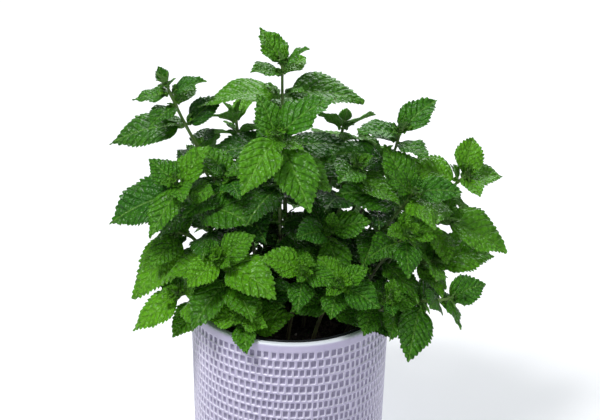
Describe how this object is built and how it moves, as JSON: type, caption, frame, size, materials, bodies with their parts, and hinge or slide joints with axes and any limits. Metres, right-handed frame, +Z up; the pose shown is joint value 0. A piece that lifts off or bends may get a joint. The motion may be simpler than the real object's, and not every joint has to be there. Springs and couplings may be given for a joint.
{
  "type": "potted mint plant",
  "caption": "Bushy mint plant growing in a nursery pot of soil, set inside a straight-sided glazed ceramic cover pot.",
  "frame": {"origin": "centre of the cover pot's flat base, on the surface it stands on", "axes": "+Z up; -Y towards the front of the plant, the side with the low rosettes; +X to the right seen from the front"},
  "size_m": [0.2638, 0.1789, 0.3086],
  "materials": {
    "glaze": "satin",
    "black_plastic": "satin",
    "potting_soil": "matte",
    "mint": "satin"
  },
  "bodies": {
    "root": {"cover_pot": "glaze", "nursery_pot": "black_plastic", "soil": "potting_soil", "sprig_top": "mint", "sprig_front_high": "mint", "sprig_left_high": "mint", "sprig_left_rosette": "mint", "sprig_front_left": "mint", "sprig_front_middle": "mint", "sprig_front_right": "mint", "sprig_right_low_small": "mint", "sprig_right_rosette": "mint", "sprig_right_front_high": "mint", "sprig_right_high": "mint", "sprig_right_far": "mint", "sprig_right_mid": "mint", "sprig_right_low": "mint", "sprig_right_low_far": "mint", "sprig_left_low": "mint", "sprig_left_rim": "mint", "sprig_front_rim": "mint", "sprig_middle_low": "mint", "sprig_middle_right": "mint", "sprig_middle_left": "mint", "sprig_back_left_high": "mint", "sprig_back_right_high": "mint", "sprig_left_back": "mint", "sprig_back_left": "mint", "sprig_back_middle": "mint", "sprig_back_right": "mint", "sprig_right_back": "mint", "sprig_back_rim_left": "mint", "sprig_back_rim_middle": "mint", "sprig_back_rim_right": "mint"}
  },
  "joints": []
}
